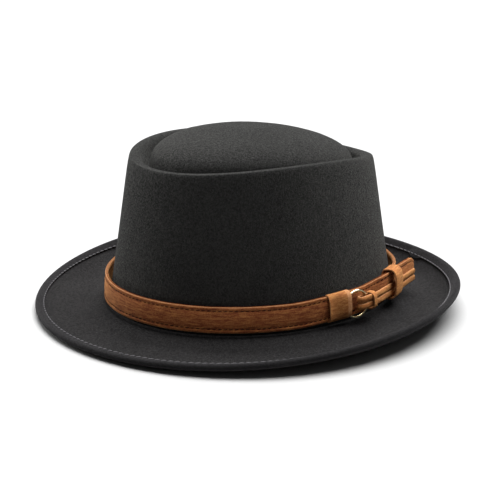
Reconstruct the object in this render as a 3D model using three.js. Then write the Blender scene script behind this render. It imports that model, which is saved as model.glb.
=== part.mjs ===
// Pork pie hat of wool felt with a suede belt and ring round its crown, in millimetres.
// +Z is up, the front of the hat points to -Y and the wearer's left side to +X.
// The origin lies on the surface that the brim rests on, under the middle of the brim.
// Angles run round the hat: 0 is the front, 90 the wearer's left, 180 the back.

import * as THREE from 'three';

// Felt, and the space kept between pieces that touch on the real hat
const FELT = 2;
const GAP = 0.3;
const SEGMENTS = 60;

// Crown: outline of its foot, then the fold round its top
const HEAD_LENGTH = 198;
const HEAD_WIDTH = 173.2;
const HEAD_BACK = 3.5;
const CREST_LENGTH = 165;
const CREST_WIDTH = 131.6;
const CREST_BACK = 6.7;
const CREST_EGG = 0.11;
const CREST_HEIGHT = 102.4;
const CREST_SLOPE = 4.7;
const CREST_SADDLE = 4.4;
const FOLD_RADIUS = 4.5;
const FOLD_START = 10;
const GROOVE_WIDTH = 4.2;
const GROOVE_DEPTH = 12;
const DOME_HEIGHT = 121.3;
const DOME_BACK = 1;
const DOME_TILT = 3.9;
const DOME_ROUND = 1.6;
const DOME_FLAT = 0.36;

// Brim: the outline of its finished edge, its foot and collar, and the edge that turns up,
// least in front, more behind and most at the sides
const BRIM_LENGTH = 286;
const BRIM_WIDTH = 281;
const BREAK_HEIGHT = 6.5;
const COLLAR_HEIGHT = 8;
const FLAT_START = 0.34;
const EDGE_HEIGHT = 11.4;
const EDGE_TILT = 6.4;
const EDGE_SADDLE = 2.3;
const EDGE_DIP = 1.2;
const CURL_START = 0.56;
const CURL_POWER = 1.8;

// Edge binding tape
const TAPE = 0.8;
const TAPE_WIDTH = 5.5;

// Belt strap
const STRAP_WIDTH = 16.5;
const STRAP = 2;
const STRAP_BOTTOM = 9.5;
const STRAP_LEAN = 1;
const STRAP_RISE = 5;
const TAIL_STAND_OFF = 9.8;
const CHAMFER = 0.35;

// Loops of leather round the strap, and the play inside them
const LOOP = 1;
const LOOP_PLAY = 0.5;
const LOOP_CORNER = 0.4;
const WRAP_LENGTH = 16.7;
const WRAP_BEFORE_RING = 4.5;
const SMALL_KEEPER_WIDTH = 3.8;
const LARGE_KEEPER_WIDTH = 11;
const LARGE_KEEPER_AT = 46;

// Ring, and the narrow tongue strap folded through it
const RING_ANGLE = 97.5;
const RING_HEIGHT = 18.9;
const RING_DIAMETER = 19;
const RING_WIRE = 1.7;
const RING_PLAY = 0.5;
const TONGUE_WIDTH = 8.6;
const TONGUE = 1;
const TONGUE_BOTTOM = 15.5;
const TONGUE_PAST_RING = 1;

// The belt from its free tail round the front to its hidden end. Layer 1 lies on layer 0,
// away is a share of TAIL_STAND_OFF and rise a share of STRAP_RISE.
const BELT_ROWS = [
  { angle: 146, layer: 1, away: 1, rise: 0.16 },
  { angle: 141.8, layer: 1, away: 0.65, rise: 0.25 },
  { angle: 137.3, layer: 1, away: 0.37, rise: 0.35 },
  { angle: 132.7, layer: 1, away: 0.15, rise: 0.48 },
  { angle: 128, layer: 1, away: 0, rise: 0.6 },
  { angle: 122, layer: 1, away: 0, rise: 0.75 },
  { angle: 116, layer: 1, away: 0, rise: 0.78 },
  { angle: 108, layer: 0, away: 0, rise: 0.42 },
  { angle: 102, layer: 0, away: 0, rise: 0.35 },
  { angle: 96, layer: 0, away: 0, rise: 0.38 },
  { angle: 86, layer: 0, away: 0, rise: 0.28 },
  { angle: 72, layer: 0, away: 0, rise: 0.05 },
  { angle: 10, layer: 0, away: 0, rise: 0.1 },
  { angle: -60, layer: 0, away: 0, rise: 0.1 },
  { angle: -150, layer: 0, away: 0, rise: 0 },
  { angle: -243, layer: 0, away: 0, rise: 0 },
];

// Wrap loop: share along its length, and how far its front stands open for the ring
const WRAP_ROWS = [
  { along: 0, open: 0 },
  { along: 0.3, open: 0.15 },
  { along: 0.5, open: 0.7 },
  { along: 0.7, open: 1 },
  { along: 1, open: 1 },
];

// Crown profile: shares of the wall's height, turns round the fold in degrees, steps down into
// the groove as shares of its width and depth, and shares of the way from the dome's middle out
const WALL_SHARES = [0, 0.33, 0.68];
const FOLD_TURNS = [FOLD_START, 55, 90, 135, 180];
const GROOVE_ROWS = [
  { inward: 0.3, down: 0.6 },
  { inward: 0.72, down: 1 },
];
const DOME_SHARES = [1, 0.975, 0.9, 0.76, 0.55, 0.28];

// Shares of the brim's width from the crown's foot up to the tape
const BRIM_SHARES = [0.12, 0.25, FLAT_START, 0.45, CURL_START, 0.69, 0.8];

// Turns round the brim's edge between its two faces, in degrees
const EDGE_TURNS = [45, 0, -45];

// Steps along the belt and the tongue strap, turns round the tongue's fold in degrees,
// and steps round the ring and round its wire
const BELT_STEPS = 78;
const TONGUE_STEPS = 14;
const TONGUE_TURNS = [0, 36, 72, 108, 144, 180];
const RING_STEPS = 28;
const WIRE_STEPS = 8;

// Colours seen in daylight
const CROWN_FELT = { color: 0x2a2a2b, roughness: 0.96, metalness: 0 };
const BRIM_FELT = { color: 0x2c2a2d, roughness: 0.92, metalness: 0 };
const BINDING_TAPE = { color: 0x2e2c2f, roughness: 0.85, metalness: 0 };
const BROWN_SUEDE = { color: 0x8a5a34, roughness: 0.9, metalness: 0 };
const PALE_GOLD = { color: 0xe6d2a0, roughness: 0.25, metalness: 1 };

const radians = THREE.MathUtils.degToRad;

// Closed skin over rings of points that all have as many points. A ring joins the next one,
// and the two open ends are either joined to each other or closed on a pole.
function skinGeometry(rings, { closed = false, startPole = null, endPole = null } = {}) {
  const size = rings[0].length;
  const points = rings.flat();
  const faces = [];
  const last = closed ? rings.length : rings.length - 1;
  for (let ring = 0; ring < last; ring += 1) {
    const here = ring * size;
    const next = ((ring + 1) % rings.length) * size;
    for (let step = 0; step < size; step += 1) {
      const after = (step + 1) % size;
      faces.push([here + step, next + step, next + after]);
      faces.push([here + step, next + after, here + after]);
    }
  }
  if (!closed) {
    const finish = (rings.length - 1) * size;
    const start = points.push(startPole ?? middle(rings[0])) - 1;
    const end = points.push(endPole ?? middle(rings.at(-1))) - 1;
    for (let step = 0; step < size; step += 1) {
      const after = (step + 1) % size;
      faces.push([start, step, after]);
      faces.push([end, finish + after, finish + step]);
    }
  }
  const outward = signedVolume(points, faces) > 0;
  const index = faces.flatMap(([a, b, c]) => (outward ? [a, b, c] : [a, c, b]));
  const geometry = new THREE.BufferGeometry().setFromPoints(points);
  geometry.setIndex(index);
  geometry.computeVertexNormals();
  return geometry;
}

function middle(ring) {
  const sum = new THREE.Vector3();
  ring.forEach((point) => sum.add(point));
  return sum.divideScalar(ring.length);
}

function signedVolume(points, faces) {
  const cross = new THREE.Vector3();
  return faces.reduce((sum, [a, b, c]) => (
    sum + cross.crossVectors(points[b], points[c]).dot(points[a])
  ), 0);
}

// Values of a table at any angle, as a smooth curve through its rows
function tableCurve(rows, columns) {
  const points = rows.map((row) => new THREE.Vector3(...columns.map((name) => row[name] ?? 0)));
  return new THREE.CatmullRomCurve3(points);
}

// Outline of the crown's foot, moved out by a distance
function headOutline(angle, out = 0) {
  const turn = radians(angle);
  return new THREE.Vector2(
    (HEAD_WIDTH / 2 + out) * Math.sin(turn),
    HEAD_BACK - (HEAD_LENGTH / 2 + out) * Math.cos(turn),
  );
}

// Middle line of the fold, egg shaped and broader in front, with its outward direction
function crestOutline(angle) {
  const turn = radians(angle);
  const halfWidth = CREST_WIDTH / 2;
  const halfLength = CREST_LENGTH / 2;
  const egg = 1 + CREST_EGG * Math.cos(turn);
  const point = new THREE.Vector2(
    halfWidth * egg * Math.sin(turn),
    CREST_BACK - halfLength * Math.cos(turn),
  );
  const alongX = halfWidth * (egg * Math.cos(turn) - CREST_EGG * Math.sin(turn) ** 2);
  const alongY = halfLength * Math.sin(turn);
  const outward = new THREE.Vector2(alongY, -alongX).normalize();
  return { point, outward };
}

// The front of the fold stands higher than its back, and its sides arch up between them
function crestHeight(angle) {
  const turn = radians(angle);
  return CREST_HEIGHT + CREST_SLOPE * Math.cos(turn) - CREST_SADDLE * Math.cos(2 * turn);
}

const lift = (plan, height) => new THREE.Vector3(plan.x, plan.y, height);

const FOOT_HEIGHT = BREAK_HEIGHT + FELT / 2 + GAP;

// Where the straight wall meets the fold
function wallTop(angle) {
  const { point, outward } = crestOutline(angle);
  const turn = radians(FOLD_START);
  const plan = point.clone().addScaledVector(outward, FOLD_RADIUS * Math.cos(turn));
  return lift(plan, crestHeight(angle) - FOLD_RADIUS * (1 - Math.sin(turn)));
}

// Outside of the crown wall, by share of its height
function wallPoint(angle, share) {
  return lift(headOutline(angle), FOOT_HEIGHT).lerp(wallTop(angle), share);
}

// Outside of the crown at one angle, from its foot over the fold and groove to the dome
function crownProfile(angle) {
  const { point, outward } = crestOutline(angle);
  const height = crestHeight(angle);
  const away = (out, z) => lift(point.clone().addScaledVector(outward, out), z);
  const wall = WALL_SHARES.map((share) => wallPoint(angle, share));
  const fold = FOLD_TURNS.map((turn) => away(
    FOLD_RADIUS * Math.cos(radians(turn)),
    height - FOLD_RADIUS * (1 - Math.sin(radians(turn))),
  ));
  const drop = GROOVE_DEPTH - FOLD_RADIUS;
  const groove = GROOVE_ROWS.map(({ inward, down }) => away(
    -FOLD_RADIUS - inward * GROOVE_WIDTH,
    height - FOLD_RADIUS - down * drop,
  ));
  const foot = away(-FOLD_RADIUS - GROOVE_WIDTH, height - GROOVE_DEPTH);
  const dome = DOME_SHARES.map((share) => domePoint(foot, angle, share));
  return [...wall, ...fold, ...groove, ...dome];
}

// Dome between its foot in the groove and its middle
function domePoint(foot, angle, share) {
  const top = DOME_HEIGHT + DOME_TILT * Math.cos(radians(angle)) * share;
  const rise = (1 - share ** DOME_ROUND) ** DOME_FLAT;
  return new THREE.Vector3(
    foot.x * share,
    DOME_BACK + (foot.y - DOME_BACK) * share,
    foot.z + (top - foot.z) * rise,
  );
}

const ANGLES = Array.from({ length: SEGMENTS }, (_, step) => (360 * step) / SEGMENTS);

// Outward directions over the crown's rings, from the neighbours of each point
function crownNormals(rings, apex) {
  return rings.map((ring, row) => ring.map((point, step) => {
    const round = ring[(step + 1) % SEGMENTS].clone().sub(ring.at(step - 1));
    const below = rings[Math.max(row - 1, 0)][step];
    const above = rings[row + 1]?.[step] ?? apex;
    return round.cross(above.clone().sub(below)).normalize();
  }));
}

function crownGeometry() {
  const profiles = ANGLES.map(crownProfile);
  const outside = profiles[0].map((_, row) => profiles.map((profile) => profile[row]));
  const apex = new THREE.Vector3(0, DOME_BACK, DOME_HEIGHT);
  const normals = crownNormals(outside, apex);
  const inside = outside.map((ring, row) => ring.map((point, step) => {
    const moved = point.clone().addScaledVector(normals[row][step], -FELT);
    moved.z = row === 0 ? point.z : moved.z;
    return moved;
  }));
  const insideApex = apex.clone().setZ(DOME_HEIGHT - FELT);
  return skinGeometry([...inside.reverse(), ...outside], {
    startPole: insideApex,
    endPole: apex,
  });
}

// Rounding of the felt's edge under the tape, and of the tape itself
const EDGE_RADIUS = FELT / 2 + GAP + TAPE;

// Height of the middle of the felt at the brim's edge
function edgeHeight(angle) {
  const turn = radians(angle);
  return EDGE_HEIGHT - EDGE_TILT * Math.cos(turn) - EDGE_SADDLE * Math.cos(2 * turn)
    + EDGE_DIP * Math.cos(3 * turn);
}

// Middle of the felt of the brim at one angle, by share of the way to its edge
function brimMiddle(angle, share) {
  const turn = radians(angle);
  const edge = new THREE.Vector2(
    (BRIM_WIDTH / 2 - EDGE_RADIUS) * Math.sin(turn),
    (EDGE_RADIUS - BRIM_LENGTH / 2) * Math.cos(turn),
  );
  const flat = FELT / 2;
  const slope = Math.max(1 - share / FLAT_START, 0);
  const curl = Math.max((share - CURL_START) / (1 - CURL_START), 0) ** CURL_POWER;
  const height = flat + (BREAK_HEIGHT - flat) * slope + (edgeHeight(angle) - flat) * curl;
  return lift(headOutline(angle).lerp(edge, share), height);
}

// Point beside the middle of the brim: turn 90 is its upper face, 0 its edge, -90 its underside
function besideBrim(angle, share, distance, turn = 90) {
  const shortStep = 0.002;
  const before = brimMiddle(angle, share - shortStep);
  const forward = brimMiddle(angle, share).sub(before).normalize();
  const round = new THREE.Vector3(Math.cos(radians(angle)), Math.sin(radians(angle)), 0);
  const upward = round.cross(forward).negate().normalize();
  return brimMiddle(angle, share)
    .addScaledVector(forward, distance * Math.cos(radians(turn)))
    .addScaledVector(upward, distance * Math.sin(radians(turn)));
}

// Shares of the brim that lie under the tape, from its inner border to the edge
function tapeShares(angle) {
  const reach = brimMiddle(angle, 1).distanceTo(brimMiddle(angle, CURL_START));
  const start = 1 - (1 - CURL_START) * (TAPE_WIDTH - EDGE_RADIUS) / reach;
  return [start, (1 + start) / 2, 1];
}

// Section of the brim: the collar inside the crown, the upper face, the edge, the underside
function brimSection(angle) {
  const half = FELT / 2;
  const inset = (share, out, height) => {
    const wall = wallPoint(angle, share);
    const middleOfHat = lift(new THREE.Vector2(0, HEAD_BACK), wall.z);
    const inward = middleOfHat.sub(wall).normalize();
    return wall.addScaledVector(inward, out).setZ(height);
  };
  const collarShare = COLLAR_HEIGHT / (CREST_HEIGHT - FOOT_HEIGHT);
  const foot = BREAK_HEIGHT + half;
  const collar = [
    inset(0, 2 * FELT + GAP, BREAK_HEIGHT - half),
    inset(collarShare, 2 * FELT + GAP, foot + COLLAR_HEIGHT),
    inset(collarShare, FELT + GAP, foot + COLLAR_HEIGHT),
    inset(0, FELT + GAP, foot),
    inset(0, 0, foot),
  ];
  const shares = [...BRIM_SHARES, ...tapeShares(angle)];
  const upper = shares.map((share) => besideBrim(angle, share, half));
  const edge = EDGE_TURNS.map((turn) => besideBrim(angle, 1, half, turn));
  const under = shares.map((share) => besideBrim(angle, share, half, -90)).reverse();
  return [...collar, ...upper, ...edge, ...under];
}

function brimGeometry() {
  return skinGeometry(ANGLES.map(brimSection), { closed: true });
}

// Tape folded over the brim's edge, clear of the felt by the gap
function bindingSection(angle) {
  const inner = FELT / 2 + GAP;
  const outer = inner + TAPE;
  const shares = tapeShares(angle);
  const over = shares.map((share) => besideBrim(angle, share, outer));
  const round = EDGE_TURNS.map((turn) => besideBrim(angle, 1, outer, turn));
  const under = shares.map((share) => besideBrim(angle, share, outer, -90)).reverse();
  const back = shares.map((share) => besideBrim(angle, share, inner, -90));
  const bend = EDGE_TURNS.map((turn) => besideBrim(angle, 1, inner, turn)).reverse();
  const inside = shares.map((share) => besideBrim(angle, share, inner)).reverse();
  return [...over, ...round, ...under, ...back, ...bend, ...inside];
}

function bindingGeometry() {
  return skinGeometry(ANGLES.map(bindingSection), { closed: true });
}

// Point on the belt's course: distance out from the crown's foot, leaning in towards the top
function beltPoint(angle, out, height) {
  const lean = STRAP_LEAN * (height - STRAP_BOTTOM) / STRAP_WIDTH;
  return lift(headOutline(angle, out - lean), height);
}

// Strap along stations of its middle, each with an angle, a distance out and its lower edge
function strapGeometry(stations, width, thickness) {
  const lower = stations.map(({ angle, out, bottom }) => beltPoint(angle, out, bottom));
  const upper = stations.map(({ angle, out, bottom }) => beltPoint(angle, out, bottom + width));
  const half = thickness / 2;
  const rings = lower.map((low, station) => {
    const before = lower[Math.max(station - 1, 0)];
    const after = lower[Math.min(station + 1, lower.length - 1)];
    const up = upper[station].clone().sub(low).normalize();
    const side = after.clone().sub(before).cross(up).normalize();
    const corner = (base, out, rise) => (
      base.clone().addScaledVector(side, out).addScaledVector(up, rise)
    );
    return [
      corner(low, half - CHAMFER, 0),
      corner(low, half, CHAMFER),
      corner(upper[station], half, -CHAMFER),
      corner(upper[station], half - CHAMFER, 0),
      corner(upper[station], CHAMFER - half, 0),
      corner(upper[station], -half, -CHAMFER),
      corner(low, -half, CHAMFER),
      corner(low, CHAMFER - half, 0),
    ];
  });
  return skinGeometry(rings);
}

// Inner face of the belt's first layer: clear of the loops' leather that runs behind it
const FIRST_LAYER = GAP + LOOP + GAP;

const beltCurve = tableCurve(BELT_ROWS.map(({ angle, layer, away, rise }) => ({
  angle,
  out: FIRST_LAYER + STRAP / 2 + layer * (STRAP + GAP) + away * TAIL_STAND_OFF,
  bottom: STRAP_BOTTOM + rise * STRAP_RISE,
})), ['angle', 'out', 'bottom']);

const stationsOf = (points) => points.map(({ x, y, z }) => ({ angle: x, out: y, bottom: z }));

function beltGeometry() {
  return strapGeometry(stationsOf(beltCurve.getSpacedPoints(BELT_STEPS)), STRAP_WIDTH, STRAP);
}

// Angle at a distance along the belt from the middle of the ring
function angleAlong(distance) {
  const ahead = headOutline(RING_ANGLE + 1, FIRST_LAYER);
  const perDegree = ahead.distanceTo(headOutline(RING_ANGLE, FIRST_LAYER));
  return RING_ANGLE + distance / perDegree;
}

// Distances out from the crown's foot, layer by layer at the ring
const BELT_FACE = FIRST_LAYER + STRAP;
const SMALL_KEEPER_BACK = BELT_FACE + GAP + LOOP;
const TONGUE_BACK = SMALL_KEEPER_BACK + GAP + TONGUE / 2;
const WIRE_RIGHT = TONGUE_BACK + TONGUE / 2 + RING_PLAY + RING_WIRE / 2;
const TONGUE_FRONT = WIRE_RIGHT + RING_WIRE / 2 + RING_PLAY + TONGUE / 2;
const TONGUE_ON_BELT = BELT_FACE + GAP + STRAP + GAP + TONGUE / 2;
const WIRE_LEFT = BELT_FACE + RING_PLAY + RING_WIRE / 2;
const WIRE_RADIUS = (RING_DIAMETER - RING_WIRE) / 2;
const SMALL_KEEPER_AT = RING_DIAMETER / 2 + GAP;
const SMALL_KEEPER_END = SMALL_KEEPER_AT + SMALL_KEEPER_WIDTH;

// Round ring: its left side lies in the wrap loop, its right side in the fold of the tongue
function ringMesh() {
  const middleOut = (WIRE_LEFT + WIRE_RIGHT) / 2;
  const left = beltPoint(angleAlong(-WIRE_RADIUS), WIRE_LEFT, RING_HEIGHT);
  const right = beltPoint(angleAlong(WIRE_RADIUS), WIRE_RIGHT, RING_HEIGHT);
  const low = beltPoint(RING_ANGLE, middleOut, RING_HEIGHT - WIRE_RADIUS);
  const high = beltPoint(RING_ANGLE, middleOut, RING_HEIGHT + WIRE_RADIUS);
  const across = right.clone().sub(left).normalize();
  const facing = across.clone().cross(high.sub(low)).normalize();
  const upward = facing.clone().cross(across);
  const geometry = new THREE.TorusGeometry(WIRE_RADIUS, RING_WIRE / 2, WIRE_STEPS, RING_STEPS);
  const ring = mesh('ring', geometry, PALE_GOLD);
  ring.position.addVectors(left, right).divideScalar(2);
  ring.setRotationFromMatrix(new THREE.Matrix4().makeBasis(across, upward, facing));
  return ring;
}

// Tongue strap: its hidden end, the fold through the ring, then out along the belt to the tail
function tongueGeometry() {
  const foldRadius = (TONGUE_FRONT - TONGUE_BACK) / 2;
  const foldAt = foldRadius + TONGUE / 2 - TONGUE_PAST_RING;
  const halfway = (SMALL_KEEPER_END + foldAt) / 2;
  const at = (distance, out) => (
    { angle: angleAlong(distance), out, bottom: TONGUE_BOTTOM }
  );
  const back = [SMALL_KEEPER_END, halfway].map((distance) => at(distance, TONGUE_BACK));
  const fold = TONGUE_TURNS.map((turn) => at(
    foldAt - foldRadius * Math.sin(radians(turn)),
    TONGUE_BACK + foldRadius * (1 - Math.cos(radians(turn))),
  ));
  const outer = BELT_ROWS.filter(({ layer }) => layer === 1).reverse();
  const course = tableCurve([
    at(SMALL_KEEPER_AT, TONGUE_FRONT),
    at(SMALL_KEEPER_END, TONGUE_FRONT),
    ...outer.map(({ angle, away, rise }) => ({
      angle,
      out: TONGUE_ON_BELT + away * TAIL_STAND_OFF,
      bottom: STRAP_BOTTOM + rise * STRAP_RISE,
    })),
  ], ['angle', 'out', 'bottom']);
  const stations = [...back, ...fold, ...stationsOf(course.getSpacedPoints(TONGUE_STEPS))];
  return strapGeometry(stations, TONGUE_WIDTH, TONGUE);
}

// Closed leather loop round a strap. Each station along the strap gives the space inside it.
function loopGeometry(stations) {
  const around = ({ angle, back, front, bottom, top }, grow) => {
    const radius = LOOP_CORNER + grow;
    const corners = [
      { out: front - LOOP_CORNER, height: bottom + LOOP_CORNER, start: -90 },
      { out: front - LOOP_CORNER, height: top - LOOP_CORNER, start: 0 },
      { out: back + LOOP_CORNER, height: top - LOOP_CORNER, start: 90 },
      { out: back + LOOP_CORNER, height: bottom + LOOP_CORNER, start: 180 },
    ];
    return corners.flatMap(({ out, height, start }) => [0, 45, 90].map((turn) => beltPoint(
      angle,
      out + radius * Math.cos(radians(start + turn)),
      height + radius * Math.sin(radians(start + turn)),
    )));
  };
  const outside = stations.map((station) => around(station, LOOP));
  const inside = stations.map((station) => around(station, 0)).reverse();
  return skinGeometry([...outside, ...inside], { closed: true });
}

// Lower edge of the belt at an angle on the wearer's left, between its two nearest stations
function beltBottom(angle) {
  const stations = stationsOf(beltCurve.getSpacedPoints(BELT_STEPS));
  const next = stations.findIndex((station) => station.angle <= angle);
  const [from, to] = [stations[next - 1], stations[next]];
  const share = (angle - from.angle) / (to.angle - from.angle);
  return THREE.MathUtils.lerp(from.bottom, to.bottom, share);
}

// The wrap loop opens towards the ring, which it holds between its front and the belt
function wrapLoopGeometry() {
  const closed = BELT_FACE + GAP;
  const opened = WIRE_LEFT + RING_WIRE + RING_PLAY;
  return loopGeometry(WRAP_ROWS.map(({ along, open }) => {
    const angle = angleAlong(-WRAP_BEFORE_RING - WRAP_LENGTH * (1 - along));
    return {
      angle,
      back: GAP + LOOP,
      front: THREE.MathUtils.lerp(closed, opened, open),
      bottom: beltBottom(angle) - LOOP_PLAY,
      top: beltBottom(angle) + STRAP_WIDTH + LOOP_PLAY,
    };
  }));
}

// Stations of a plain keeper between two distances from the ring
function keeperStations(start, width, space) {
  return [0, 0.5, 1].map((share) => ({ angle: angleAlong(start + share * width), ...space }));
}

function smallKeeperGeometry() {
  return loopGeometry(keeperStations(SMALL_KEEPER_AT, SMALL_KEEPER_WIDTH, {
    back: SMALL_KEEPER_BACK,
    front: TONGUE_FRONT + TONGUE / 2 + GAP,
    bottom: TONGUE_BOTTOM - GAP,
    top: TONGUE_BOTTOM + TONGUE_WIDTH + GAP,
  }));
}

// The large keeper goes round both layers of the belt and the tongue strap
function largeKeeperGeometry() {
  const start = LARGE_KEEPER_AT - LARGE_KEEPER_WIDTH / 2;
  return loopGeometry(keeperStations(start, LARGE_KEEPER_WIDTH, {
    back: GAP + LOOP,
    front: TONGUE_ON_BELT + TONGUE / 2 + GAP,
    bottom: STRAP_BOTTOM - GAP,
    top: beltBottom(angleAlong(start)) + STRAP_WIDTH + LOOP_PLAY,
  }));
}

function mesh(name, geometry, finish) {
  const part = new THREE.Mesh(geometry, new THREE.MeshStandardMaterial(finish));
  part.name = name;
  return part;
}

const hat = new THREE.Group();
hat.add(
  mesh('crown', crownGeometry(), CROWN_FELT),
  mesh('brim', brimGeometry(), BRIM_FELT),
  mesh('brim_binding', bindingGeometry(), BINDING_TAPE),
  mesh('belt_strap', beltGeometry(), BROWN_SUEDE),
  mesh('wrap_loop', wrapLoopGeometry(), BROWN_SUEDE),
  ringMesh(),
  mesh('tongue_strap', tongueGeometry(), BROWN_SUEDE),
  mesh('small_keeper', smallKeeperGeometry(), BROWN_SUEDE),
  mesh('large_keeper', largeKeeperGeometry(), BROWN_SUEDE),
);

export default hat;
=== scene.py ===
import math

import bmesh
import bpy
from mathutils import Matrix, Vector


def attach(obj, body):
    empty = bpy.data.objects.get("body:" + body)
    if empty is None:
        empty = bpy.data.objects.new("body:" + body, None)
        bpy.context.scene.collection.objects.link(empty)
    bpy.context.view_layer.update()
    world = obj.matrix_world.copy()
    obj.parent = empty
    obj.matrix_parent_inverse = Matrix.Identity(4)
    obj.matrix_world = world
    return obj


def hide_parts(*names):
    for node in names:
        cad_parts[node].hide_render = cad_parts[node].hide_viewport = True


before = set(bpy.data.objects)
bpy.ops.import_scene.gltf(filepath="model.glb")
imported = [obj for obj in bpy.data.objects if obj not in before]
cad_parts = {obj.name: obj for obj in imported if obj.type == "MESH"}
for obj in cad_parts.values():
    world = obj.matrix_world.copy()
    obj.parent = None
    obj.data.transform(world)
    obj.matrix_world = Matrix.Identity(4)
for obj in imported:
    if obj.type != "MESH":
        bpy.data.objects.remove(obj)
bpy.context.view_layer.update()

MM = 0.001

# ---------------------------------------------------------------- camera
# The hat is seen from its front left, a little from above, through a long lens. The values
# were fitted to the outlines of crown, brim and belt.
PHOTO_SIDE = 500
CAMERA_TURN = math.radians(53.1)
CAMERA_RISE = math.radians(18.79)
CAMERA_PITCH = math.radians(16.86)
CAMERA_DISTANCE = 925 * MM
CAMERA_AIM = Vector((0, 1.7, 2.5)) * MM
FOCAL_PIXELS = 1364
SENSOR = 36
FAR_LIMIT = 50


def make_camera():
    camera = bpy.data.objects.new("camera", bpy.data.cameras.new("camera"))
    bpy.context.scene.collection.objects.link(camera)
    camera.data.sensor_width = SENSOR
    camera.data.lens = SENSOR * FOCAL_PIXELS / PHOTO_SIDE
    camera.data.clip_end = FAR_LIMIT
    camera.location = CAMERA_AIM + CAMERA_DISTANCE * Vector((
        math.sin(CAMERA_TURN) * math.cos(CAMERA_RISE),
        -math.cos(CAMERA_TURN) * math.cos(CAMERA_RISE),
        math.sin(CAMERA_RISE),
    ))
    camera.rotation_euler = (math.pi / 2 - CAMERA_PITCH, 0, CAMERA_TURN)
    bpy.context.scene.camera = camera


# ---------------------------------------------------------------- materials
# Pattern sizes in millimetres. Wool fibres are about 0.03 mm thick and suede's nap about
# 0.2 mm long, too fine to show, so fibres, nap and thread are drawn as coarse as they need to be.
FELT_PATCH = 35
FELT_FIBRE = 0.8
SUEDE_PATCH = 14
SUEDE_STREAK = 1.1
SUEDE_NAP = 0.7
THREAD_GRAIN = 0.5
# Width of a streak in the suede, by share of its length along the strap
STREAK_WIDTH = 0.12
# Share that the slow patches and the suede's nap add to the finer pattern
PATCH_SHARE = 0.3
NAP_SHARE = 0.5
# Where most values lie: of one noise, of felt's two and its three added up, of suede's two
NOISE_RANGE = (0.35, 0.65)
FELT_NAP_RANGE = (0.8, 1.2)
FELT_RANGE = (0.85, 1.45)
SUEDE_RANGE = (0.66, 1.1)
# The felt's nap glows between these shares of its mean
NAP_LEAST = 0.25
NAP_MOST = 1.75
# Blender's colour mix has several sockets of the same name, so they go by number
MIX_SHARE, MIX_FIRST, MIX_SECOND, MIX_RESULT = 0, 6, 7, 2


def linear(code):
    """An sRGB hex value as the linear colour that Blender works in."""
    values = [int(code[place:place + 2], 16) / 255 for place in (1, 3, 5)]
    return tuple(
        value / 12.92 if value <= 0.04045 else ((value + 0.055) / 1.055) ** 2.4
        for value in values
    ) + (1.0,)


def add(tree, kind, values=(), links=(), **properties):
    """A node with its properties, the values of its sockets, and what is linked into them."""
    made = tree.nodes.new("ShaderNode" + kind)
    for name, value in properties.items():
        setattr(made, name, value)
    for socket, value in dict(values).items():
        made.inputs[socket].default_value = value
    for socket, source in dict(links).items():
        tree.links.new(source, made.inputs[socket])
    return made


def make_material(name, shader, build=None):
    """A material whose shader has these constant sockets, and whose other nodes build() adds."""
    material = bpy.data.materials.new(name)
    material.use_nodes = True
    tree = material.node_tree
    principled = tree.nodes["Principled BSDF"]
    for socket, value in shader.items():
        principled.inputs[socket].default_value = value
    if build:
        build(tree, principled)
    return material


def per_size(millimetres):
    """Noise scale at which one patch is about this wide."""
    return 1 / (millimetres * MM)


def spread(tree, source, useful, to_low=0.0, to_high=1.0):
    """A noise's useful range, stretched and cut off at its ends."""
    low, high = useful
    return add(
        tree, "MapRange",
        {"From Min": low, "From Max": high, "To Min": to_low, "To Max": to_high},
        {"Value": source},
    ).outputs["Result"]


def blend_colours(tree, share, first, second):
    """From one colour, or a link that carries one, to another by a share."""
    values = {MIX_SECOND: linear(second)}
    links = {MIX_SHARE: share}
    if isinstance(first, str):
        values[MIX_FIRST] = linear(first)
    else:
        links[MIX_FIRST] = first
    return add(tree, "Mix", values, links, data_type="RGBA").outputs[MIX_RESULT]


def raise_grain(tree, principled, height, strength, depth):
    """Bump from a pattern's height, with its full depth in millimetres."""
    bump = add(tree, "Bump", {"Strength": strength, "Distance": depth * MM}, {"Height": height})
    tree.links.new(bump.outputs["Normal"], principled.inputs["Normal"])


def felt(name, dark, light, sheen, sheen_tint, clump, depth):
    """Wool felt: matted fibre clumps and single fibres, with a nap that glows at its rim."""
    def build(tree, principled):
        place = add(tree, "TexCoord").outputs["Object"]
        patches = add(
            tree, "TexNoise", {"Scale": per_size(FELT_PATCH), "Detail": 2}, {"Vector": place},
        )
        clumps = add(
            tree, "TexNoise",
            {"Scale": per_size(clump), "Detail": 5, "Roughness": 0.7}, {"Vector": place},
        )
        fibres = add(
            tree, "TexNoise",
            {"Scale": per_size(FELT_FIBRE), "Detail": 4, "Roughness": 0.75}, {"Vector": place},
        )
        matted = add(
            tree, "Math", {}, {0: clumps.outputs["Fac"], 1: fibres.outputs["Fac"]},
            operation="ADD",
        ).outputs[0]
        mottled = add(
            tree, "Math", {1: PATCH_SHARE}, {0: patches.outputs["Fac"], 2: matted},
            operation="MULTIPLY_ADD",
        ).outputs[0]
        colour = blend_colours(tree, spread(tree, mottled, FELT_RANGE), dark, light)
        tree.links.new(colour, principled.inputs["Base Color"])
        nap = spread(tree, matted, FELT_NAP_RANGE, NAP_LEAST * sheen, NAP_MOST * sheen)
        tree.links.new(nap, principled.inputs["Sheen Weight"])
        raise_grain(tree, principled, matted, strength=1.0, depth=depth)
    return make_material(name, {
        "Roughness": 0.95,
        "Specular IOR Level": 0.1,
        "Sheen Roughness": 0.45,
        "Sheen Tint": linear(sheen_tint),
    }, build)


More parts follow.
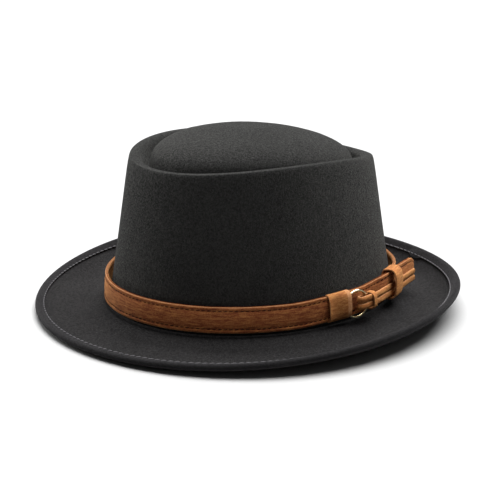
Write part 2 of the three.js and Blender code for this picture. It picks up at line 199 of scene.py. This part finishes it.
def suede(name, dark, middle, light):
    """Brushed suede: a short nap that lies in streaks along the strap, lighter where it stands."""
    def build(tree, principled):
        place = add(tree, "Attribute", attribute_name="flat").outputs["Vector"]
        stretched = add(tree, "Mapping", {"Scale": (STREAK_WIDTH, 1, 1)}, {"Vector": place})
        streaks = add(
            tree, "TexNoise", {"Scale": per_size(SUEDE_STREAK), "Detail": 4, "Roughness": 0.65},
            {"Vector": stretched.outputs[0]},
        )
        patches = add(
            tree, "TexNoise", {"Scale": per_size(SUEDE_PATCH), "Detail": 2}, {"Vector": place},
        )
        nap = add(
            tree, "TexNoise", {"Scale": per_size(SUEDE_NAP), "Detail": 3, "Roughness": 0.7},
            {"Vector": place},
        )
        brushed = add(
            tree, "Math", {1: NAP_SHARE}, {0: nap.outputs["Fac"], 2: streaks.outputs["Fac"]},
            operation="MULTIPLY_ADD",
        ).outputs[0]
        base = blend_colours(tree, spread(tree, patches.outputs["Fac"], NOISE_RANGE), dark, middle)
        colour = blend_colours(tree, spread(tree, brushed, SUEDE_RANGE), base, light)
        tree.links.new(colour, principled.inputs["Base Color"])
        raise_grain(tree, principled, brushed, strength=0.9, depth=0.3)
    return make_material(name, {
        "Roughness": 0.88,
        "Specular IOR Level": 0.2,
        "Sheen Weight": 0.6,
        "Sheen Roughness": 0.35,
        "Sheen Tint": linear("#cf9a60"),
    }, build)


def even_grain(name, shader, dark, light, grain, depth):
    """Small even grain, for thread, cut leather and plated metal."""
    def build(tree, principled):
        place = add(tree, "TexCoord").outputs["Object"]
        noise = add(
            tree, "TexNoise", {"Scale": per_size(grain), "Detail": 3}, {"Vector": place},
        ).outputs["Fac"]
        colour = blend_colours(tree, spread(tree, noise, NOISE_RANGE), dark, light)
        tree.links.new(colour, principled.inputs["Base Color"])
        raise_grain(tree, principled, noise, strength=0.5, depth=depth)
    return make_material(name, shader, build)


# Brushed wool felt, needled and blocked: matt and nearly black, grey where its nap is seen
# edge on.
CROWN_FELT = felt(
    "crown_wool_felt", dark="#121212", light="#2b2b2a", sheen=0.11, sheen_tint="#d4d3cd",
    clump=1.6, depth=0.5,
)
# Pressed wool felt, ironed flat: a smoother nap with a faint plum tinge.
BRIM_FELT = felt(
    "brim_pressed_felt", dark="#0b0a0b", light="#242323", sheen=0.08, sheen_tint="#c4c1c4",
    clump=1.6, depth=0.5,
)
# Felt tape, cut and folded over the edge: the brim's cloth, pulled smooth.
TAPE_FELT = felt(
    "binding_tape_felt", dark="#0b0a0b", light="#222122", sheen=0.08, sheen_tint="#c8c5c8",
    clump=1.5, depth=0.2,
)
# Brown suede, split and brushed: reddish where the nap lies, tan where it stands.
BROWN_SUEDE = suede("brown_suede", dark="#713920", middle="#824527", light="#d08a4e")
# Suede of the loops and the tongue strap, brushed less: even and a shade lighter.
LOOP_SUEDE = suede("loop_suede", dark="#84502c", middle="#955a30", light="#cf9455")
# Cut edge of the suede, its raw core: pale tan and smoother than the nap.
CUT_EDGE = even_grain(
    "suede_cut_edge", {"Roughness": 0.85, "Specular IOR Level": 0.2},
    dark="#a36f45", light="#bd8a60", grain=1.2, depth=0.1,
)
# Polyester thread in dark brown: it sinks into the suede as a dark dotted line.
BROWN_THREAD = even_grain(
    "dark_brown_thread", {"Roughness": 0.9, "Specular IOR Level": 0.1},
    dark="#180a05", light="#2a130a", grain=THREAD_GRAIN, depth=0.05,
)
# Polyester thread in charcoal, with a painted highlight: its grey is lighter than the felt's, so
# that the stitches draw the lit line along the tape's inner border.
SEAM_THREAD_WITH_PAINTED_HIGHLIGHT = even_grain(
    "charcoal_thread_painted_highlight", {"Roughness": 0.7},
    dark="#333134", light="#434144", grain=THREAD_GRAIN, depth=0.05,
)
# Zinc alloy plated pale gold: smooth, with soft mirror-like reflections.
PALE_GOLD = even_grain(
    "pale_gold_plate", {"Metallic": 1.0, "Roughness": 0.2},
    dark="#e9d9a8", light="#f1e4bd", grain=3, depth=0.01,
)

# ---------------------------------------------------------------- modelling helpers
TOUCHING = 0.001 * MM
ROUNDING_LEVELS = 2


def only(piece):
    """This piece alone is selected and active."""
    bpy.ops.object.select_all(action="DESELECT")
    piece.select_set(True)
    bpy.context.view_layer.objects.active = piece


def apply(piece, kind, **settings):
    """Adds a modifier with its settings and applies it."""
    only(piece)
    modifier = piece.modifiers.new(kind.lower(), kind)
    for name, value in settings.items():
        setattr(modifier, name, value)
    bpy.ops.object.modifier_apply(modifier=modifier.name)


def keep_through_points(piece):
    """Moves a cage out so that the surface rounded from it passes through its old points."""
    rounding = piece.modifiers.new("rounding", "SUBSURF")
    rounding.levels = 1
    seen = piece.evaluated_get(bpy.context.evaluated_depsgraph_get())
    shrunk = [seen.data.vertices[index].co.copy() for index in range(len(piece.data.vertices))]
    piece.modifiers.clear()
    for vertex, place in zip(piece.data.vertices, shrunk):
        vertex.co += vertex.co - place


def smooth_copy(name, node):
    """A piece with a CAD node's shape: merged, made quads and rounded by subdivision."""
    piece = bpy.data.objects.new(name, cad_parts[node].data.copy())
    bpy.context.scene.collection.objects.link(piece)
    only(piece)
    bpy.ops.object.mode_set(mode="EDIT")
    bpy.ops.mesh.select_all(action="SELECT")
    bpy.ops.mesh.remove_doubles(threshold=TOUCHING)
    bpy.ops.mesh.tris_convert_to_quads(face_threshold=math.pi, shape_threshold=math.pi)
    bpy.ops.mesh.customdata_custom_splitnormals_clear()
    bpy.ops.object.mode_set(mode="OBJECT")
    keep_through_points(piece)
    apply(piece, "SUBSURF", levels=ROUNDING_LEVELS, render_levels=ROUNDING_LEVELS)
    bpy.ops.object.shade_smooth()
    return piece


def dress(piece, *materials):
    piece.data.materials.clear()
    for material in materials:
        piece.data.materials.append(material)


def place_on(piece, slot, *nodes):
    """Puts a piece on the hat's one body, in place of the CAD nodes that it is named for."""
    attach(piece, "root")
    if nodes:
        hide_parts(*nodes)


# ---------------------------------------------------------------- the hat's own lines
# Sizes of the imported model, in millimetres. Angles run round the hat: 0 is its front, 90 the
# wearer's left, 180 the back.
HEAD_LENGTH = 198
HEAD_WIDTH = 173.2
HEAD_BACK = 3.5
BRIM_LENGTH = 286
BRIM_WIDTH = 281
FELT = 2
EDGE_RADIUS = 2.1
EDGE_HEIGHT = 11.4
EDGE_TILT = 6.4
EDGE_SADDLE = 2.3
EDGE_DIP = 1.2
CURL_START = 0.56
CURL_POWER = 1.8
STRAP = 2
LOOP = 1
GAP = 0.3
STRAP_WIDTH = 16.5
STRAP_BOTTOM = 9.5
STRAP_LEAN = 1
STRAP_RISE = 5
FIRST_LAYER = GAP + LOOP + GAP
LAYER_STEP = STRAP + GAP
TAIL_STAND_OFF = 9.8
RING_ANGLE = 97.5
# Course of the belt: on the crown (layer 0) or on itself (layer 1), how far it stands away by
# share of the tail's stand-off, and its rise by share of STRAP_RISE
BELT_ROWS = [
    {"angle": -243, "layer": 0, "away": 0, "rise": 0.4},
    {"angle": -228, "layer": 0, "away": 0, "rise": 0.3},
    {"angle": -200, "layer": 0, "away": 0, "rise": -0.2},
    {"angle": -150, "layer": 0, "away": 0, "rise": -0.05},
    {"angle": -60, "layer": 0, "away": 0, "rise": 0.05},
    {"angle": 10, "layer": 0, "away": 0, "rise": 0.08},
    {"angle": 72, "layer": 0, "away": 0, "rise": 0.1},
    {"angle": 86, "layer": 0, "away": 0, "rise": 0.32},
    {"angle": 96, "layer": 0, "away": 0, "rise": 0.38},
    {"angle": 102, "layer": 0, "away": 0, "rise": 0.35},
    {"angle": 108, "layer": 0, "away": 0, "rise": 0.42},
    {"angle": 116, "layer": 1, "away": 0, "rise": 0.74},
    {"angle": 122, "layer": 1, "away": 0, "rise": 0.62},
    {"angle": 128, "layer": 1, "away": 0, "rise": 0.52},
    {"angle": 132.7, "layer": 1, "away": 0.15, "rise": 0.45},
    {"angle": 137.3, "layer": 1, "away": 0.37, "rise": 0.35},
    {"angle": 141.8, "layer": 1, "away": 0.65, "rise": 0.25},
    {"angle": 146.8, "layer": 1, "away": 1.06, "rise": 0.16},
]
BELT_FROM, BELT_TO = BELT_ROWS[0]["angle"], BELT_ROWS[-1]["angle"]
# Steps over which a direction on the brim is measured
SHARE_STEP = 0.01
ANGLE_STEP = 0.5


def head_outline(angle, out):
    """Plan of the crown's foot, moved out by a distance, in millimetres."""
    turn = math.radians(angle)
    return Vector((
        (HEAD_WIDTH / 2 + out) * math.sin(turn),
        HEAD_BACK - (HEAD_LENGTH / 2 + out) * math.cos(turn),
    ))


def between_rows(rows, column, angle):
    """A table's value at an angle, on a smooth curve that never overshoots its rows."""
    values = [(row["angle"], row[column]) for row in rows]
    place = min(max(angle, values[0][0]), values[-1][0])
    index = next(i for i in range(1, len(values)) if place <= values[i][0])

    def slope(i):
        if i in (0, len(values) - 1):
            return 0.0
        (a0, v0), (a1, v1), (a2, v2) = values[i - 1:i + 2]
        before, after = (v1 - v0) / (a1 - a0), (v2 - v1) / (a2 - a1)
        return 0.0 if before * after <= 0 else 2 * before * after / (before + after)

    (start, low), (end, high) = values[index - 1:index + 1]
    span = end - start
    t = (place - start) / span
    return (
        (1 + 2 * t) * (1 - t) ** 2 * low + t * (1 - t) ** 2 * span * slope(index - 1)
        + t * t * (3 - 2 * t) * high + t * t * (t - 1) * span * slope(index)
    )


def strap_place(angle, out, height):
    """A point out from the crown's foot, in metres."""
    plan = head_outline(angle, out)
    return Vector((plan.x, plan.y, height)) * MM


def belt_place(angle):
    """Middle of the belt's lower edge at an angle, in metres."""
    layer = between_rows(BELT_ROWS, "layer", angle)
    away = between_rows(BELT_ROWS, "away", angle)
    rise = between_rows(BELT_ROWS, "rise", angle)
    out = FIRST_LAYER + STRAP / 2 + layer * LAYER_STEP + away * TAIL_STAND_OFF
    return strap_place(angle, out, STRAP_BOTTOM + rise * STRAP_RISE)


def brim_middle(angle, share):
    """Middle of the brim's felt, by share of the way from the crown's foot to its edge."""
    turn = math.radians(angle)
    edge = Vector((
        (BRIM_WIDTH / 2 - EDGE_RADIUS) * math.sin(turn),
        (EDGE_RADIUS - BRIM_LENGTH / 2) * math.cos(turn),
    ))
    plan = head_outline(angle, 0).lerp(edge, share)
    edge_height = (
        EDGE_HEIGHT - EDGE_TILT * math.cos(turn) - EDGE_SADDLE * math.cos(2 * turn)
        + EDGE_DIP * math.cos(3 * turn)
    )
    curl = max((share - CURL_START) / (1 - CURL_START), 0) ** CURL_POWER
    return Vector((plan.x, plan.y, FELT / 2 + (edge_height - FELT / 2) * curl))


def beside_brim(angle, share, distance):
    """A point over the brim's middle, in metres, with the directions round and up there."""
    ahead = brim_middle(angle, share + SHARE_STEP) - brim_middle(angle, share - SHARE_STEP)
    round_hat = brim_middle(angle + ANGLE_STEP, share) - brim_middle(angle - ANGLE_STEP, share)
    upward = ahead.cross(round_hat).normalized()
    return (brim_middle(angle, share) + distance * upward) * MM, round_hat, upward


def length_of(points):
    return sum((b - a).length for a, b in zip(points, points[1:]))


# ---------------------------------------------------------------- guides to bend pieces along
GUIDE_STEPS = 16


def course(name, points, lean=0.0):
    """A guide line through points, to bend flat pieces along. It is removed after its use."""
    line = bpy.data.curves.new(name, "CURVE")
    line.dimensions = "3D"
    line.twist_mode = "Z_UP"
    line.resolution_u = GUIDE_STEPS
    spline = line.splines.new("BEZIER")
    spline.bezier_points.add(len(points) - 1)
    for made, point in zip(spline.bezier_points, points):
        made.co = point
        made.handle_left_type = made.handle_right_type = "AUTO"
        made.tilt = -lean
    guide = bpy.data.objects.new(name, line)
    bpy.context.scene.collection.objects.link(guide)
    return guide


def keep_flat_place(piece):
    """Keeps where each point lies before the piece is bent, for patterns that follow it."""
    places = [value for vertex in piece.data.vertices for value in vertex.co]
    kept = piece.data.attributes.new("flat", "FLOAT_VECTOR", "POINT")
    kept.data.foreach_set("vector", places)


def bend_along(piece, guide):
    apply(piece, "CURVE", object=guide, deform_axis="POS_X")


# ---------------------------------------------------------------- straps, loops and stitches
# A face that looks this much along or across a strap is one of its cut edges
EDGE_FACE = 0.5
LOOP_POINTS = 32
# Powers of the loops' inner outline: 1 is an oval, and towards 0 it becomes an oblong
FRONT_ROUNDNESS = 0.75
BACK_ROUNDNESS = 0.3
SIDE_ROUNDNESS = 0.6
LOOP_BEVEL = 0.2
STITCH_SLANT = math.radians(-6)


def draw_outline(name, outline, closed):
    """A new piece, in edit mode, whose outline is drawn point by point, each out and up."""
    bpy.ops.object.select_all(action="DESELECT")
    bpy.ops.mesh.primitive_plane_add(size=MM, location=(0, 0, 0))
    piece = bpy.context.object
    piece.name = name
    bpy.ops.object.mode_set(mode="EDIT")
    bpy.ops.mesh.select_all(action="SELECT")
    bpy.ops.mesh.merge(type="CENTER")
    bpy.ops.transform.translate(value=Vector((0, -outline[0][0], outline[0][1])) * MM)
    turns = outline + outline[:1] if closed else outline
    for (out0, up0), (out1, up1) in zip(turns, turns[1:]):
        step = Vector((0, out0 - out1, up1 - up0)) * MM
        bpy.ops.mesh.extrude_vertices_move(TRANSFORM_OT_translate={"value": step})
    bpy.ops.mesh.select_all(action="SELECT")
    if closed:
        bpy.ops.mesh.remove_doubles(threshold=TOUCHING)
    else:
        bpy.ops.mesh.edge_face_add()
    return piece


def pull_out(piece, length, cuts):
    """Pulls the outline out along X and cuts it across."""
    bpy.ops.mesh.extrude_region_move(TRANSFORM_OT_translate={"value": (length, 0, 0)})
    mesh = bmesh.from_edit_mesh(piece.data)
    for edge in mesh.edges:
        along = edge.verts[0].co - edge.verts[1].co
        edge.select_set(abs(along.x) > length / 2)
    bmesh.update_edit_mesh(piece.data)
    bpy.ops.mesh.subdivide(number_cuts=cuts)
    bpy.ops.mesh.select_all(action="SELECT")
    bpy.ops.mesh.normals_make_consistent(inside=False)
    bpy.ops.object.mode_set(mode="OBJECT")


def mirrored(upper, middle):
    """A section from its upper half, as points out and up from its middle height."""
    lower = [(out, -up) for out, up in reversed(upper) if up > 0]
    return [(out, middle + up) for out, up in upper + lower]


def flat_strap(name, front, back, width, length, cuts, surface):
    """A strap along X from the upper halves of its front and back sections, with cut edges."""
    behind = [(out, width - up) for out, up in mirrored(back, width / 2)]
    strap = draw_outline(name, mirrored(front, width / 2) + behind, closed=False)
    pull_out(strap, length, cuts)
    dress(strap, surface, CUT_EDGE)
    for face in strap.data.polygons:
        edge = abs(face.normal.z) > EDGE_FACE or abs(face.normal.x) > EDGE_FACE
        face.material_index = 1 if edge else 0
    return strap


def signed_power(value, power):
    return math.copysign(abs(value) ** power, value)


def loop_band(loop, start):
    """A leather band round a strap, with its front standing off as the loop's row says."""
    middle = (loop["front"] + loop["back"]) / 2
    reach = (loop["front"] - loop["back"]) / 2
    height = (loop["bottom"] + loop["top"]) / 2
    rise = (loop["top"] - loop["bottom"]) / 2
    outline = []
    for step in range(LOOP_POINTS):
        turn = 2 * math.pi * step / LOOP_POINTS
        square = FRONT_ROUNDNESS if math.cos(turn) > 0 else BACK_ROUNDNESS
        outline.append((
            middle + reach * signed_power(math.cos(turn), square),
            height + rise * signed_power(math.sin(turn), SIDE_ROUNDNESS),
        ))
    band = draw_outline(loop["name"], outline, closed=True)
    last = len(loop["stand_off"]) - 1
    pull_out(band, loop["width"] * MM, last - 1)
    for vertex in band.data.vertices:
        stand_off = loop["stand_off"][round(vertex.co.x / (loop["width"] * MM) * last)]
        forward = max((-vertex.co.y / MM - middle) / reach, 0)
        vertex.co.y -= stand_off * forward * MM
        vertex.co.x += start
    outside = sum(
        face.normal.y * (face.center.y + middle * MM) for face in band.data.polygons
    )
    apply(band, "SOLIDIFY", thickness=loop["thickness"] * MM, offset=math.copysign(1, outside))
    dress(band, LOOP_SUEDE, CUT_EDGE)
    for face in band.data.polygons:
        face.material_index = 1 if abs(face.normal.x) > EDGE_FACE else 0
    apply(band, "BEVEL", width=LOOP_BEVEL * MM, segments=2, limit_method="ANGLE")
    apply(band, "SUBSURF", levels=1, render_levels=1)
    bpy.ops.object.shade_smooth()
    for face in band.data.polygons:
        if face.center.x > start + (loop["width"] - loop["turned"]) * MM:
            face.material_index = 1
    return band


def stitch_row(name, stitch, count, height):
    """Stitches along X, each a small rounded pad that leans a little, as lockstitch does."""
    bpy.ops.object.select_all(action="DESELECT")
    bpy.ops.mesh.primitive_uv_sphere_add(
        segments=8, ring_count=6, radius=1,
        location=(stitch["pitch"] / 2 * MM, -stitch["out"] * MM, height * MM),
        rotation=(0, STITCH_SLANT, 0),
        scale=Vector((stitch["length"], stitch["thick"], stitch["thick"])) / 2 * MM,
    )
    row = bpy.context.object
    row.name = name
    bpy.ops.object.transform_apply(location=True, rotation=True, scale=True)
    bpy.ops.object.shade_smooth()
    apply(
        row, "ARRAY", count=count, use_relative_offset=False, use_constant_offset=True,
        constant_offset_displace=(stitch["pitch"] * MM, 0, 0),
    )
    return row


# ---------------------------------------------------------------- crown and brim
DOME_TOP = 115.5
DOME_SMOOTHING = 30
# Seam that holds the tape: its share of the way out, its height over the brim's middle, and the
# degrees from one point of its course to the next
SEAM_SHARE = 0.935
SEAM_HEIGHT = 2.2
SEAM_STEP = 3
SEAM_STITCH = {"pitch": 4.2, "out": 0, "length": 3.9, "thick": 1.0}
# Rounded end of the tape, folded over its start at the back
LAP_ANGLE = 171
LAP_SHARE = 0.95
LAP_HEIGHT = 2
LAP_LENGTH = 17
LAP_WIDTH = 7
LAP_THICK = 0.9
LAP_BEVEL = 0.3
LAP_SMOOTH_UNDER = math.radians(40)


def make_crown():
    crown = smooth_copy("crown_felt", "crown")
    top = crown.vertex_groups.new(name="dome_top")
    high = [vertex.index for vertex in crown.data.vertices if vertex.co.z > DOME_TOP * MM]
    top.add(high, 1, "REPLACE")
    apply(crown, "SMOOTH", factor=0.5, iterations=DOME_SMOOTHING, vertex_group="dome_top")
    place_on(crown, "crown_felt", "crown")
    dress(crown, CROWN_FELT)


def make_brim():
    brim = smooth_copy("brim_felt", "brim")
    place_on(brim, "brim_felt", "brim")
    dress(brim, BRIM_FELT)
    binding = smooth_copy("brim_binding_tape", "brim_binding")
    place_on(binding, "binding_tape", "brim_binding")
    dress(binding, TAPE_FELT)


def make_seam():
    seam = [
        beside_brim(angle, SEAM_SHARE, SEAM_HEIGHT)[0]
        for angle in range(-180, 181, SEAM_STEP)
    ]
    guide = course("binding_course", seam)
    count = round(length_of(seam) / MM / SEAM_STITCH["pitch"])
    stitches = stitch_row("binding_stitches", SEAM_STITCH, count, 0)
    bend_along(stitches, guide)
    bpy.data.objects.remove(guide)
    place_on(stitches, "binding_tape")
    # The stitches' pale grey is a painted highlight along the tape's inner border.
    dress(stitches, SEAM_THREAD_WITH_PAINTED_HIGHLIGHT)


def make_lap():
    place, round_hat, upward = beside_brim(LAP_ANGLE, LAP_SHARE, LAP_HEIGHT)
    side = upward.cross(round_hat).normalized()
    turn = Matrix((round_hat.normalized(), side, upward)).transposed().to_euler()
    bpy.ops.object.select_all(action="DESELECT")
    bpy.ops.mesh.primitive_cylinder_add(
        vertices=40, radius=MM, depth=MM, end_fill_type="TRIFAN",
        location=place, rotation=turn, scale=(LAP_LENGTH / 2, LAP_WIDTH / 2, LAP_THICK),
    )
    lap = bpy.context.object
    lap.name = "binding_lap"
    bpy.ops.object.transform_apply(location=True, rotation=True, scale=True)
    apply(lap, "BEVEL", width=LAP_BEVEL * MM, segments=2, limit_method="ANGLE")
    bpy.ops.object.shade_smooth_by_angle(angle=LAP_SMOOTH_UNDER)
    place_on(lap, "binding_tape")
    dress(lap, TAPE_FELT)


# ---------------------------------------------------------------- belt
# Degrees from one point of its course to the next, and the finer steps that measure its length
BELT_STEP = 3
LENGTH_STEPS = 4
BELT_CUTS = 500
BELT_SMOOTH_UNDER = math.radians(50)
TAIL_CORNER = 3
# Upper half of the belt's front, out and up from its middle: a soft corner, a channel under
# the stitches, full in the middle
BELT_FRONT = [
    (0.7, 8.25), (0.95, 7.9), (1.05, 7.2), (0.95, 6.4), (0.7, 5.75), (0.98, 4.9), (1.1, 3.6),
    (1.15, 1.6), (1.15, 0),
]
BELT_BACK = [(-1, 0), (-1, 5.75), (-1, 7.9), (-0.7, 8.25)]
BELT_STITCH = {"pitch": 3.4, "out": 0.75, "length": 2.8, "thick": 0.6}
STITCH_FROM_EDGE = 2.5
BELT_STITCH_ROWS = {
    "belt_stitches_lower": STITCH_FROM_EDGE,
    "belt_stitches_upper": STRAP_WIDTH - STITCH_FROM_EDGE,
}


def make_belt_course():
    steps = round((BELT_TO - BELT_FROM) / BELT_STEP)
    angles = [BELT_FROM + (BELT_TO - BELT_FROM) * step / steps for step in range(steps + 1)]
    lean = math.atan(STRAP_LEAN / STRAP_WIDTH)
    return course("belt_course", [belt_place(angle) for angle in angles], lean)


def belt_length_to(angle):
    """Length of the belt from its hidden end to an angle, in metres."""
    steps = max(round((angle - BELT_FROM) / BELT_STEP * LENGTH_STEPS), 1)
    span = (angle - BELT_FROM) / steps
    return length_of([belt_place(BELT_FROM + span * step) for step in range(steps + 1)])


def round_end(strap, length):
    """Rounds the two corners of the belt's free end."""
    radius, middle = TAIL_CORNER * MM, STRAP_WIDTH / 2 * MM
    for vertex in strap.data.vertices:
        past = (vertex.co.x - length) / radius + 1
        if past > 0:
            inset = radius * (1 - math.sqrt(max(1 - past * past, 0)))
            vertex.co.z = middle + (vertex.co.z - middle) * (1 - inset / middle)


def make_belt(guide):
    length = belt_length_to(BELT_TO)
    belt = flat_strap(
        "suede_belt", BELT_FRONT, BELT_BACK, STRAP_WIDTH, length, BELT_CUTS, BROWN_SUEDE,
    )
    round_end(belt, length)
    keep_flat_place(belt)
    bend_along(belt, guide)
    bpy.ops.object.shade_smooth_by_angle(angle=BELT_SMOOTH_UNDER)
    place_on(belt, "brown_suede", "belt_strap")
    count = int(length / MM / BELT_STITCH["pitch"]) - 1
    for name, height in BELT_STITCH_ROWS.items():
        row = stitch_row(name, BELT_STITCH, count, height)
        bend_along(row, guide)
        place_on(row, "brown_suede")
        dress(row, BROWN_THREAD)


# ---------------------------------------------------------------- ring, loops and tongue strap
SMALL_KEEPER_AT = 9.8
# Loops on the belt, in millimetres. Each starts at a distance from the middle of the ring, and
# its inside is measured out from the belt's middle and up from its lower edge. An edge that is
# turned over shows the raw suede, and stand_off moves the front out along the loop's width.
LOOPS = [
    {
        "name": "suede_wrap_loop", "node": "wrap_loop", "start": -21.2, "width": 16.7,
        "thickness": 0.7, "front": 1.5, "back": -1.3, "bottom": -0.1, "top": 16.6,
        "turned": 3.2, "stand_off": (1.5, 0.7, 0.4, 0.4, 0.9, 1.6, 2.2, 2.3, 2.3),
    },
    {
        "name": "suede_small_keeper", "node": "small_keeper", "start": SMALL_KEEPER_AT,
        "width": 4, "thickness": 0.9, "front": 8.0, "back": 2.3, "bottom": 2.6, "top": 12.4,
        "turned": 0, "stand_off": (0.9, 0.4, 0),
    },
    {
        "name": "suede_large_keeper", "node": "large_keeper", "start": 37.5, "width": 14.5,
        "thickness": 1, "front": 5.3, "back": -3.6, "bottom": -0.6, "top": 17.6,
        "turned": 0, "stand_off": (0.3, 0.3, 0.15, 0, 0),
    },
]
TONGUE_WIDTH = 8.6
TONGUE_BOTTOM = 15.5
TONGUE_CUTS = 160
TONGUE_SMOOTH_UNDER = math.radians(60)
# Upper half of the tongue strap's front: a groove along its middle between two rolled sides
TONGUE_FRONT_HALF = [
    (0.1, 4.3), (0.5, 4.0), (0.85, 3.3), (0.95, 2.3), (0.85, 1.4), (0.6, 0.7), (0.1, 0.3),
    (0.0, 0),
]
TONGUE_BACK_HALF = [(-0.5, 0), (-0.5, 3.9), (-0.4, 4.25)]
# Its layers, out from the crown's foot
BELT_FACE = FIRST_LAYER + STRAP
TONGUE_BACK = BELT_FACE + 2.1
TONGUE_FRONT = BELT_FACE + 5.8
TONGUE_ON_BELT = BELT_FACE + 3.1
# Its fold round the ring's wire and its end behind the small keeper, from the ring's middle
FOLD_OVERLAP = 0.5
FOLD_TURN = 30
TONGUE_END = 13.6
TONGUE_STRAIGHT = SMALL_KEEPER_AT - 4
# Where it lies on the belt, and the height of its lower edge
TONGUE_ROWS = [
    {"angle": 116, "away": 0, "height": 14},
    {"angle": 122, "away": 0, "height": 13.4},
    {"angle": 128, "away": 0, "height": 12.5},
    {"angle": 132.7, "away": 0.15, "height": 11.8},
    {"angle": 137.3, "away": 0.37, "height": 11.2},
    {"angle": 141.8, "away": 0.65, "height": 10.7},
    {"angle": 145.2, "away": 0.93, "height": 10.3},
]


def angle_along(distance):
    """Angle at a distance along the belt from the middle of the ring, in millimetres."""
    ahead = head_outline(RING_ANGLE + 1, FIRST_LAYER) - head_outline(RING_ANGLE, FIRST_LAYER)
    return RING_ANGLE + distance / ahead.length


def make_loops(guide):
    for loop in LOOPS:
        band = loop_band(loop, belt_length_to(angle_along(loop["start"])))
        keep_flat_place(band)
        bend_along(band, guide)
        place_on(band, "brown_suede", loop["node"])


def make_ring():
    ring = smooth_copy("gold_ring", "ring")
    place_on(ring, "pale_gold", "ring")
    dress(ring, PALE_GOLD)


def tongue_points():
    """Course of the tongue strap: behind the ring, round its wire, then out to the tail."""
    radius = (TONGUE_FRONT - TONGUE_BACK) / 2
    fold_at = radius - FOLD_OVERLAP
    at = [(TONGUE_END, TONGUE_BACK), ((TONGUE_END + fold_at) / 2, TONGUE_BACK)]
    for turn in range(0, 181, FOLD_TURN):
        at.append((
            fold_at - radius * math.sin(math.radians(turn)),
            TONGUE_BACK + radius * (1 - math.cos(math.radians(turn))),
        ))
    at += [(TONGUE_STRAIGHT, TONGUE_FRONT), (TONGUE_END, TONGUE_FRONT)]
    points = [strap_place(angle_along(x), out, TONGUE_BOTTOM) for x, out in at]
    for row in TONGUE_ROWS:
        out = TONGUE_ON_BELT + row["away"] * TAIL_STAND_OFF
        points.append(strap_place(row["angle"], out, row["height"]))
    return points


def make_tongue():
    guide = course("tongue_course", tongue_points(), math.atan(STRAP_LEAN / STRAP_WIDTH))
    tongue = flat_strap(
        "suede_tongue_strap", TONGUE_FRONT_HALF, TONGUE_BACK_HALF, TONGUE_WIDTH,
        guide.data.splines[0].calc_length(), TONGUE_CUTS, LOOP_SUEDE,
    )
    keep_flat_place(tongue)
    bend_along(tongue, guide)
    bpy.ops.object.shade_smooth_by_angle(angle=TONGUE_SMOOTH_UNDER)
    place_on(tongue, "brown_suede", "tongue_strap")
    bpy.data.objects.remove(guide)


# ---------------------------------------------------------------- studio
FLOOR_SIZE = 16
WORLD_STRENGTH = 0.1
# A wide soft light overhead, a little from behind on the wearer's right, leaves the crown's side
# dark and a dark line under the near rim
OVERHEAD_FROM = (-0.14, 0.33, 1)
OVERHEAD_STRENGTH = 9.3
OVERHEAD_WIDTH = math.radians(65)
SOFTBOX_SIZE = 0.9
SOFTBOXES = [
    {"name": "softbox_left", "place": (-1.3, -0.5, 0.6), "watts": 12},
    {"name": "softbox_right", "place": (0.9, 1.3, 0.6), "watts": 0.5},
]


def make_floor():
    bpy.ops.object.select_all(action="DESELECT")
    bpy.ops.mesh.primitive_plane_add(size=FLOOR_SIZE, location=(0, 0, 0))
    floor = bpy.context.object
    floor.name = "studio_floor"
    # Matt paper: the overhead light makes it white
    floor.data.materials.append(make_material(
        "pale_paper", {"Base Color": linear("#a2a2a2"), "Roughness": 0.9},
    ))


def make_lamp(name, kind, from_place):
    """A lamp that shines from a place or direction towards the middle of the hat's brim."""
    lamp = bpy.data.objects.new(name, bpy.data.lights.new(name, kind))
    bpy.context.scene.collection.objects.link(lamp)
    lamp.rotation_euler = Vector(from_place).to_track_quat("Z", "Y").to_euler()
    return lamp


def make_lights():
    world = bpy.data.worlds.new("studio_light")
    bpy.context.scene.world = world
    world.use_nodes = True
    background = world.node_tree.nodes["Background"]
    background.inputs["Color"].default_value = (1, 1, 1, 1)
    background.inputs["Strength"].default_value = WORLD_STRENGTH
    overhead = make_lamp("overhead_light", "SUN", OVERHEAD_FROM)
    overhead.data.energy = OVERHEAD_STRENGTH
    overhead.data.angle = OVERHEAD_WIDTH
    for softbox in SOFTBOXES:
        lamp = make_lamp(softbox["name"], "AREA", softbox["place"])
        lamp.location = softbox["place"]
        lamp.data.size = SOFTBOX_SIZE
        lamp.data.energy = softbox["watts"]


make_camera()
make_crown()
make_brim()
make_seam()
make_lap()
belt_course = make_belt_course()
make_belt(belt_course)
make_loops(belt_course)
bpy.data.objects.remove(belt_course)
make_ring()
make_tongue()
make_floor()
make_lights()
bpy.context.scene.view_settings.view_transform = "Standard"
